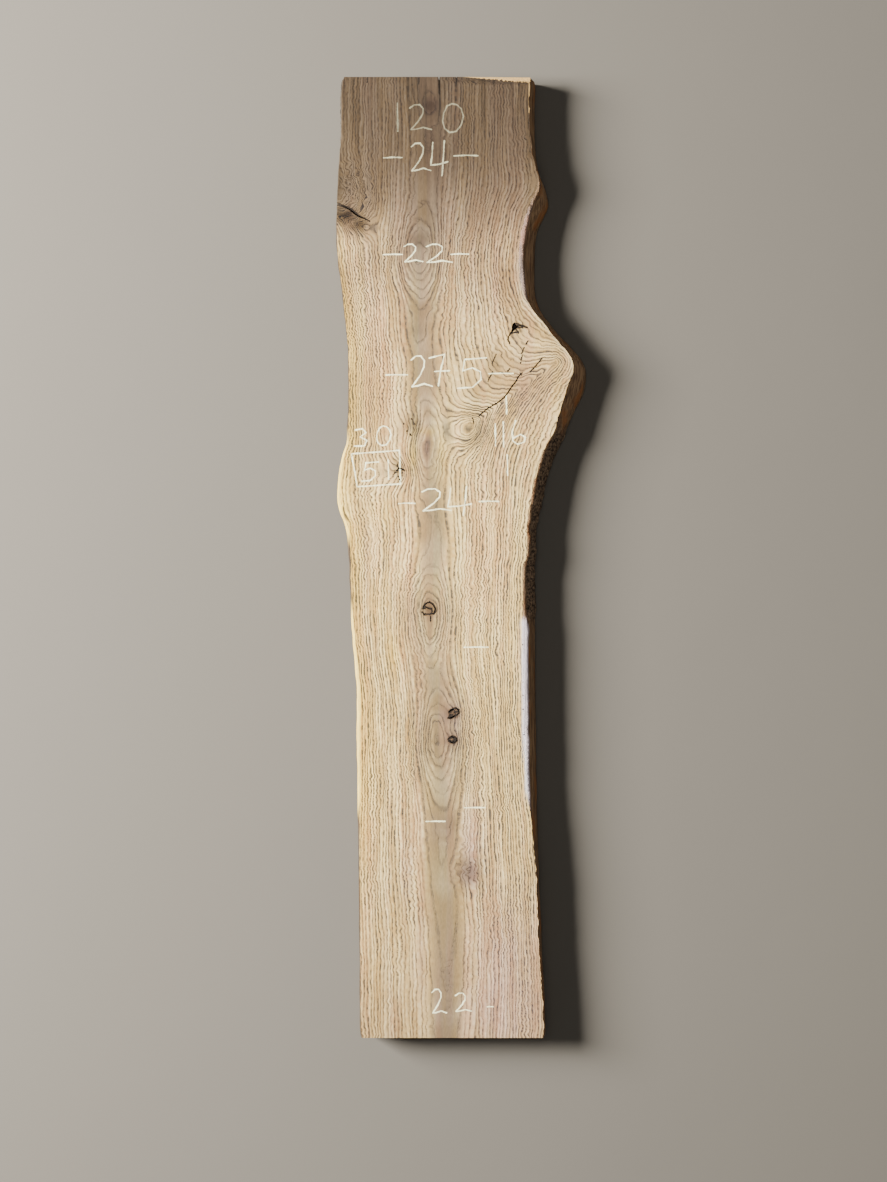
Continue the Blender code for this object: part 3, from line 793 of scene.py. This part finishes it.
def marked_ash(finish, place, colour):
    """The broken arris, the knots, the chalk, and the cracks painted black as shade, over the wood."""
    x, y, z = finish.split(place)
    colour = finish.mix(fresh_chip(finish, x, y, z), colour, FRESH_WOOD)
    for knot in ROUND_KNOTS:
        colour = round_knot(finish, colour, finish.join(x, y, 0.0), *knot)
    face = z > FACE - MILLIMETRE
    cracks = drawn_lines(finish, x, y, strokes_along(CRACK_LINES), CRACK_WIDTH)
    gaps = drawn_lines(finish, x, y, strokes_along(KNOT_LINES), KNOT_WIDTH)
    # Painted shade: the cracks and gaps are drawn black on the face
    colour = finish.mix(finish.most(cracks, gaps) * face, colour, CRACK_SHADE_BLACK)
    return finish.mix(chalk_marks(finish, x, y) * face, colour, CHALK_WHITE)


def sawn_wood():
    """Sawn ash: open pores, the figure of the rings, and all that lies on it."""
    finish = Finish("sawn_ash")
    place = finish.place()
    slant = finish.most(finish.attribute("slant"), finish.clamped(finish.attribute("burl")) * 0.75)
    colour, dark, pores = ringed_ash(finish, place, slant)
    colour = marked_ash(finish, place, weathered_ash(finish, place, colour))
    pore_depth = dark * -0.5 + pores * -0.6
    finish.paint(colour, 0.82 - dark * 0.1, finish.bump(pore_depth, 0.0006))
    return finish.material


# The broken strip along the crown end: where it starts across, and how much wider it gets to the right
CHIP_START = 0.003
CHIP_SLOPE = 0.085
# Where the sawn crown end meets the right live edge, and how far down that corner is worn
CROWN_CORNER = 0.2065
WORN_LENGTH = 0.110


def fresh_chip(finish, x, y, z):
    """Pale splintered wood where the arris of the crown end broke away, ragged along the grain."""
    splinter = finish.noise(finish.join(x / 0.006, y / 0.05, 0.0), detail=2.0)
    below = HIGH.y - y
    reach = (x - CHIP_START) * CHIP_SLOPE * (0.25 + splinter * 1.5)
    chip = finish.step(reach - below, -0.0008, 0.0008)
    near_face = finish.step(z + (splinter - 0.5) * 0.006, FACE - 0.012, FACE - 0.008)
    arris = finish.step(x, CROWN_CORNER - 0.004, CROWN_CORNER - 0.001) * (below < WORN_LENGTH)
    return finish.clamped(chip + arris * 0.5) * near_face


# How far apart the fine rings inside a knot are
KNOT_RING = 0.0042
# Round knots: across, height, radius, how brown the inside is
ROUND_KNOTS = [
    (-0.102, 1.314, 0.0200, 0.35), (-0.026, 0.995, 0.0170, 1.00), (-0.029, 0.914, 0.0130, 1.00),
    (-0.098, 2.858, 0.0140, 0.35),
]


def round_knot(finish, colour, spot, across, height, radius, darkness):
    """A knot on the face: brown inside with fine ragged rings of its own, and a lilac halo."""
    from_middle = finish.vector("SUBTRACT", spot, (across, FOOT + height, 0.0))
    ragged = finish.grain(spot, (0.007, 0.007, 1.0), 3.0)
    away = finish.vector("LENGTH", from_middle, output=1) + (ragged - 0.5) * 0.010
    halo = 1 - finish.step(away, radius * 1.2, radius * 2.4)
    colour = finish.tint(halo * 0.6, colour, KNOT_HALO)
    inside = 1 - finish.step(away, radius * 0.9, radius * 1.15)
    fine = finish.wave(away / KNOT_RING)
    return finish.tint(inside * darkness * (0.4 + fine * 0.6), colour, KNOT_BROWN)


# Gaps on the face, painted black as the shade inside them, as runs of (across, height): round the knots, in
# the left crack, in the bark pocket
KNOT_LINES = [
    [(-0.121, 1.316), (-0.117, 1.326), (-0.110, 1.332), (-0.100, 1.337), (-0.091, 1.332), (-0.084, 1.323),
     (-0.080, 1.312), (-0.083, 1.304), (-0.088, 1.299)],
    [(-0.119, 1.320), (-0.113, 1.322), (-0.107, 1.320), (-0.100, 1.317), (-0.094, 1.317), (-0.092, 1.309),
     (-0.093, 1.301)], [(-0.120, 1.316), (-0.114, 1.317)], [(-0.083, 1.318), (-0.081, 1.310)],
    [(-0.122, 1.305), (-0.115, 1.297)], [(-0.114, 1.300), (-0.100, 1.299), (-0.093, 1.302)],
    [(-0.041, 1.000), (-0.034, 1.006), (-0.027, 1.010), (-0.018, 1.012), (-0.010, 1.006), (-0.009, 0.997),
     (-0.014, 0.991), (-0.020, 0.990)], [(-0.040, 0.996), (-0.034, 1.001), (-0.027, 1.006)],
    [(-0.024, 0.998), (-0.015, 1.001)],
    [(-0.043, 0.981), (-0.034, 0.980), (-0.026, 0.986), (-0.020, 0.990)],
    [(-0.040, 0.986), (-0.031, 0.984)], [(-0.038, 0.990), (-0.030, 0.990)],
    [(-0.043, 0.915), (-0.038, 0.921), (-0.031, 0.926), (-0.024, 0.924), (-0.018, 0.919), (-0.016, 0.911),
     (-0.021, 0.906), (-0.029, 0.904), (-0.036, 0.907), (-0.041, 0.910)],
    [(-0.037, 0.918), (-0.031, 0.920)], [(-0.036, 0.911), (-0.030, 0.909), (-0.023, 0.911)],
    [(-0.025, 0.919), (-0.021, 0.914)],
    [(-0.200, 1.739), (-0.192, 1.747), (-0.185, 1.744), (-0.178, 1.741)],
    [(-0.386, 2.559), (-0.370, 2.554), (-0.355, 2.548), (-0.338, 2.540), (-0.324, 2.527), (-0.313, 2.518),
     (-0.300, 2.513)], [(-0.386, 2.556), (-0.369, 2.551), (-0.354, 2.545), (-0.336, 2.536)],
    [(0.161, 2.191), (0.175, 2.187), (0.198, 2.179)], [(0.161, 2.190), (0.156, 2.175), (0.151, 2.160)],
    [(0.162, 2.186), (0.166, 2.172), (0.173, 2.162)], [(0.152, 2.162), (0.172, 2.163)],
    [(0.168, 2.178), (0.185, 2.178)],
]
KNOT_WIDTH = 0.0060
CRACK_WIDTH = 0.0045
RAGGEDNESS = 0.0070
# Painted shade inside the cracks and gaps
CRACK_SHADE_BLACK = (0.020, 0.014, 0.010)
# Cracks as they show on the face, painted black as the shade inside them, with the small ones that are too
# fine for the solid
CRACK_LINES = [
    [(-0.400, 2.567), (-0.375, 2.555), (-0.353, 2.546), (-0.341, 2.538), (-0.324, 2.524), (-0.311, 2.517),
     (-0.298, 2.512), (-0.284, 2.504)],
    [(0.053, 1.908), (0.078, 1.930), (0.108, 1.947), (0.129, 1.963), (0.140, 1.977), (0.152, 1.996),
     (0.166, 2.014), (0.172, 2.027), (0.184, 2.039)],
    [(0.208, 2.041), (0.222, 2.056), (0.231, 2.067), (0.245, 2.083)], [(0.202, 2.137), (0.196, 2.126)],
    [(0.190, 2.116), (0.182, 2.098)], [(0.184, 2.092), (0.181, 2.078)], [(0.180, 2.072), (0.179, 2.068)],
    [(0.178, 2.038), (0.182, 2.032)], [(0.146, 2.052), (0.140, 2.044)],
    [(0.146, 2.129), (0.141, 2.141), (0.142, 2.149), (0.152, 2.165)], [(0.178, 2.184), (0.201, 2.178)],
    [(0.094, 2.042), (0.079, 2.014)], [(0.104, 2.096), (0.092, 2.068)], [(0.032, 1.900), (0.036, 1.886)],
    [(-0.155, 1.899), (-0.154, 1.897)], [(-0.180, 1.885), (-0.179, 1.883)],
    [(-0.146, 1.884), (-0.144, 1.882)], [(-0.0705, 2.946), (-0.0700, 2.892)],
    [(-0.132, 2.943), (-0.133, 2.925)], [(-0.017, 2.943), (-0.017, 2.925)],
    [(-0.291, 2.943), (-0.291, 2.930)], [(-0.0968, 1.292), (-0.0965, 1.277)],
    [(-0.142, 2.379), (-0.128, 2.382)], [(-0.200, 1.740), (-0.192, 1.747), (-0.178, 1.741)],
    [(-0.199, 1.760), (-0.197, 1.752)], [(-0.207, 1.732), (-0.200, 1.734)],
    [(-0.194, 1.722), (-0.189, 1.705)], [(-0.170, 1.861), (-0.167, 1.860)],
    [(-0.159, 1.852), (-0.157, 1.848)], [(0.186, 1.206), (0.204, 1.203)],
    [(0.188, 1.090), (0.203, 1.087)], [(0.187, 1.050), (0.203, 1.052)], [(0.187, 1.008), (0.204, 1.004)],
    [(0.190, 0.930), (0.204, 0.932)],
]


def strokes_along(lines):
    """Each line's straight strokes as their two ends, in the slab's own frame."""
    strokes = []
    for line in lines:
        ends = [(across, FOOT + height) for across, height in line]
        strokes += list(zip(ends[:-1], ends[1:]))
    return strokes


def to_nearest(finish, spot, strokes):
    """Distance from a spot on the face to the nearest of many straight strokes."""
    nearest = None
    for start, end in strokes:
        run = np.subtract(end, start)
        from_start = finish.vector("SUBTRACT", spot, (*start, 0.0))
        share = finish.vector("DOT_PRODUCT", from_start, tuple(run / (run @ run)) + (0.0,), output=1)
        share = finish.clamped(share)
        along = finish.join(share, share, 0.0)
        away = finish.vector("MULTIPLY_ADD", along, tuple(-run) + (0.0,), from_start)
        away = finish.vector("LENGTH", away, output=1)
        nearest = away if nearest is None else finish.least(nearest, away)
    return nearest


def drawn_lines(finish, x, y, strokes, width):
    """Thin ragged lines along the strokes."""
    spot = finish.join(x, y, 0.0)
    ragged = finish.grain(spot, (0.005, 0.005, 1.0), 3.0)
    away = to_nearest(finish, spot, strokes) + (ragged - 0.5) * RAGGEDNESS
    return 1 - finish.step(away, width * 0.36, width * 0.62)


def chalk_marks(finish, x, y):
    """Chalk strokes that skip over the pores and are pressed harder in places, and dimmer towards the crown
    end, partly thin chalk and partly painted shade.
    """
    spot = finish.join(x, y, 0.0)
    skip = finish.grain(spot, (0.004, 0.012, 1.0), 2.0)
    press = finish.grain(spot, (0.030, 0.030, 1.0), 1.0)
    wide = to_nearest(finish, spot, chalk_strokes()) + (skip - 0.5) * 0.004 + (0.5 - press) * 0.003
    mark = 1 - finish.step(wide, CHALK_WIDTH * 0.45, CHALK_WIDTH * 0.75)
    pressed = 0.74 + finish.step(press + (skip - 0.5) * 0.9, 0.38, 0.58) * 0.26
    # Chalk dimmed at the crown end: partly thin chalk, partly painted shade
    faint_and_shaded = finish.step(y - FOOT, 2.75, 2.79)
    return mark * pressed * (1 - smoke_and_shade_share(finish, y) * 0.64) * (1 - faint_and_shaded * 0.58)


CHALK_WIDTH = 0.0034
CHALK_WHITE = (1.0, 0.97, 0.62)
# Chalk digits, drawn in a box one wide and one high, as runs of joined points
DIGITS = {
    "dash": [[(0.0, 0.4), (0.5, 0.6), (1.0, 0.5)]],
    "box": [[(0.0, 0.95), (1.0, 1.05), (1.02, 0.08), (0.12, 0.0), (0.0, 0.95)]],
    "0": [[(0.45, 1.0), (0.22, 0.92), (0.06, 0.68), (0.0, 0.40), (0.10, 0.14), (0.35, 0.0), (0.66, 0.04),
           (0.90, 0.26), (1.0, 0.56), (0.90, 0.82), (0.68, 0.97), (0.45, 1.0)]],
    "1": [[(0.45, 1.0), (0.55, 0.0)]],
    "2": [[(0.0, 0.86), (0.20, 0.98), (0.45, 0.99), (0.62, 0.84), (0.60, 0.64), (0.40, 0.36), (0.04, 0.03),
           (0.30, 0.05), (0.62, 0.12), (1.0, 0.04)]],
    "3": [[(0.05, 0.92), (0.55, 1.0), (0.80, 0.78), (0.40, 0.55), (0.85, 0.35), (0.70, 0.06), (0.0, 0.04)]],
    "4": [[(0.12, 0.95), (0.08, 0.62), (0.0, 0.30), (0.45, 0.32), (1.0, 0.40)],
          [(0.80, 1.0), (0.74, 0.5), (0.66, 0.0)]],
    "5": [[(0.25, 0.95), (1.0, 1.0)],
          [(0.25, 0.95), (0.18, 0.58), (0.52, 0.68), (0.80, 0.55), (0.82, 0.30), (0.52, 0.05), (0.0, 0.02)]],
    "6": [[(0.30, 1.0), (0.08, 0.55), (0.12, 0.14), (0.45, 0.0), (0.88, 0.10), (0.95, 0.30), (0.62, 0.42),
           (0.16, 0.26)]],
    "7": [[(0.0, 0.88), (0.75, 1.0), (0.55, 0.5), (0.45, 0.0)], [(0.25, 0.45), (1.0, 0.48)]],
}
# Chalk figures: digit, left, foot, width and height in metres, from the middle and the foot end
FIGURES = [
    ("1", -0.205, 2.780, 0.014, 0.086), ("2", -0.160, 2.782, 0.066, 0.080),
    ("0", -0.060, 2.776, 0.064, 0.088), ("3", -0.330, 1.812, 0.044, 0.056),
    ("0", -0.262, 1.816, 0.044, 0.060), ("box", -0.339, 1.690, 0.147, 0.106),
    ("5", -0.308, 1.706, 0.052, 0.060), ("1", -0.232, 1.712, 0.012, 0.060),
    ("dash", -0.241, 2.694, 0.056, 0.010), ("2", -0.156, 2.656, 0.060, 0.088),
    ("4", -0.096, 2.644, 0.052, 0.106), ("dash", -0.026, 2.700, 0.074, 0.010),
    ("dash", -0.241, 2.399, 0.057, 0.006), ("2", -0.178, 2.378, 0.057, 0.056),
    ("2", -0.110, 2.376, 0.080, 0.058), ("dash", -0.033, 2.398, 0.052, 0.010),
    ("dash", -0.233, 2.030, 0.066, 0.006), ("2", -0.156, 1.994, 0.065, 0.098),
    ("7", -0.100, 2.000, 0.062, 0.096), ("5", -0.014, 1.990, 0.088, 0.095),
    ("dash", 0.082, 2.034, 0.074, 0.006), ("dash", -0.194, 1.636, 0.049, 0.006),
    ("2", -0.123, 1.614, 0.090, 0.070), ("4", -0.044, 1.602, 0.072, 0.088),
    ("dash", 0.052, 1.642, 0.060, 0.006), ("1", 0.130, 1.913, 0.012, 0.057),
    ("1", 0.096, 1.815, 0.012, 0.068), ("1", 0.121, 1.812, 0.012, 0.077),
    ("6", 0.150, 1.820, 0.046, 0.072), ("1", 0.134, 1.725, 0.010, 0.063),
    ("dash", 0.006, 1.196, 0.074, 0.004), ("dash", 0.008, 0.704, 0.063, 0.004),
    ("dash", -0.110, 0.662, 0.057, 0.004), ("2", -0.092, 0.074, 0.044, 0.076),
    ("2", -0.020, 0.080, 0.048, 0.058), ("dash", 0.077, 0.094, 0.018, 0.004),
]


def chalk_strokes():
    """Every chalk stroke as its two ends, in the slab's own frame."""
    strokes = []
    for digit, left, foot, width, height in FIGURES:
        for run in DIGITS[digit]:
            ends = [(left + u * width, FOOT + foot + v * height) for u, v in run]
            strokes += list(zip(ends[:-1], ends[1:]))
    return strokes


# Colours of the live edges. The left one is browner than the right one, and darkened with painted shade.
WANE_BROWN = (0.20, 0.120, 0.070)
WANE_TAN = (0.50, 0.310, 0.170)
INNER_BARK = (0.46, 0.200, 0.080)
BARK_FURROW = (0.045, 0.032, 0.024)
BARK_RIDGE = (0.40, 0.270, 0.170)
LEFT_PAINTED_SHADE = (0.135, 0.150, 0.155)
PALE_RIM_LEFT = (0.62, 0.44, 0.11)
PALE_RIM_RIGHT = (0.80, 0.70, 0.73)
RIM_STREAK = (0.6, 0.55, 0.5)
CRACK_SHADOW = (0.012, 0.009, 0.007)
CRACK_BROWN = (0.07, 0.045, 0.028)
# Sizes of their patterns, across the slab, along it and down into it
EDGE_STREAK = (0.006, 0.090, 0.006)
EDGE_PATCH = (0.060, 0.110, 0.030)
EDGE_CRUMB = (0.006, 0.008, 0.006)
CRACK_CRUMB = (0.003, 0.003, 0.003)


def live_edge_wood():
    """Weathered wood and bark on the live edges, with the pale band of bare wood under the rim, and painted
    shade on the left edge.
    """
    finish = Finish("live_edge")
    place = finish.place()
    x, y, z = finish.split(place)
    depth = finish.attribute("depth")
    streak = finish.grain(place, EDGE_STREAK, 4.0, roughness=0.6)
    patch = finish.grain(place, EDGE_PATCH, 3.0)
    crumb = finish.grain(place, EDGE_CRUMB, 4.0, roughness=0.65)
    colour = finish.mix(finish.step(streak, 0.35, 0.65), WANE_BROWN, WANE_TAN)
    right = x > 0.0
    colour = finish.mix(finish.step(patch, 0.50, 0.66) * (right * 0.6 + 0.4), colour, INNER_BARK)
    bark = finish.attribute("bark")
    bark_colour = finish.mix(finish.step(crumb, 0.35, 0.65), BARK_FURROW, BARK_RIDGE)
    colour = finish.mix(bark, colour, bark_colour)
    # Painted shade on the left live edge, which faces the lamp
    colour = finish.tint(1 - right, colour, LEFT_PAINTED_SHADE)
    pale = finish.mix(right, PALE_RIM_LEFT, PALE_RIM_RIGHT)
    pale = finish.tint(finish.step(streak, 0.45, 0.60) * 0.5, pale, RIM_STREAK)
    band = 1 - finish.step(depth + (crumb - 0.5) * 0.010, 0.006, 0.013)
    colour = finish.mix(finish.attribute("wane") * band, colour, pale)
    height = streak * 0.5 + crumb * (0.3 + bark * 0.9)
    finish.paint(colour, 0.85 - bark * 0.05, finish.bump(height, 0.0022))
    return finish.material


def hollow_wood():
    """Dark walls of cracks, pits and the bark pocket."""
    finish = Finish("crack_wall")
    place = finish.place()
    crumb = finish.grain(place, CRACK_CRUMB, 3.0)
    colour = finish.mix(finish.step(crumb, 0.4, 0.65), CRACK_SHADOW, CRACK_BROWN)
    finish.paint(colour, 0.9, finish.bump(crumb, 0.001))
    return finish.material


def dress_slab():
    slab = divided_slab()
    mesh = slab.data
    edges = edge_lines(rows_of(mesh.vertices, "co"))
    groups = face_groups(mesh, edges)
    free = soften_live_edges(slab, groups)
    roughen_live_edges(mesh, free)
    notch_rims(mesh, edges)
    store_figure(mesh, edges)
    for material in (sawn_wood(), live_edge_wood(), hollow_wood()):
        mesh.materials.append(material)
    mesh.polygons.foreach_set("material_index", groups)
    select_only(slab)
    bpy.ops.object.shade_smooth_by_angle(angle=SMOOTH_ANGLE)
    mesh.polygons.foreach_set("use_smooth", groups != SAWN)
    return slab


# The studio: a pale floor, soft light from the left, and a camera straight above the slab
FLOOR_SIZE = 24.0
FLOOR_COLOUR = (0.158, 0.143, 0.120)
FLOOR_MOTTLE = (0.5, 0.5, 0.5)
AIM = Vector((-0.057, -0.103, FACE))
CAMERA_HEIGHT = 5.033
LENS = 50.0
WARM_WHITE = (1.0, 0.985, 0.96)
SIDE_WHITE = (1.0, 0.985, 0.95)
SIDE_POWER = 6050.0
OVERHEAD_POWER = 85.0
AIR_BRIGHTNESS = 0.10


def pale_floor():
    bpy.ops.mesh.primitive_plane_add(size=FLOOR_SIZE, location=(0, 0, LOW.z))
    floor = bpy.context.object
    floor.name = "floor"
    finish = Finish("floor_paint")
    mottle = finish.grain(finish.place(), FLOOR_MOTTLE, 4.0)
    colour = finish.mix(mottle, tuple(0.97 * part for part in FLOOR_COLOUR), FLOOR_COLOUR)
    finish.paint(colour, 0.9, finish.bump(mottle, 0.001))
    floor.data.materials.append(finish.material)


def soft_light(name, place, size, power, colour):
    lamp = bpy.data.lights.new(name, "AREA")
    lamp.shape = "SQUARE"
    lamp.size = size
    lamp.energy = power
    lamp.color = colour
    light = bpy.data.objects.new(name, lamp)
    light.location = place
    light.rotation_euler = (AIM - Vector(place)).to_track_quat("-Z", "Y").to_euler()
    bpy.context.scene.collection.objects.link(light)


def studio_lights():
    soft_light("key_light", (-7.9, 1.7, 3.35), 3.4, SIDE_POWER, SIDE_WHITE)
    soft_light("overhead_light", (-0.5, 0.5, 7.0), 5.0, OVERHEAD_POWER, WARM_WHITE)
    world = bpy.data.worlds.new("studio_air")
    bpy.context.scene.world = world
    world.use_nodes = True
    air = world.node_tree.nodes["Background"]
    air.inputs["Color"].default_value = (*WARM_WHITE, 1.0)
    air.inputs["Strength"].default_value = AIR_BRIGHTNESS


def overhead_camera():
    lens = bpy.data.cameras.new("camera")
    lens.lens = LENS
    camera = bpy.data.objects.new("camera", lens)
    camera.location = AIM + Vector((0, 0, CAMERA_HEIGHT))
    bpy.context.scene.collection.objects.link(camera)
    bpy.context.scene.camera = camera


pale_floor()
studio_lights()
overhead_camera()
slab = dress_slab()
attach(slab, "root")
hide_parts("slab")
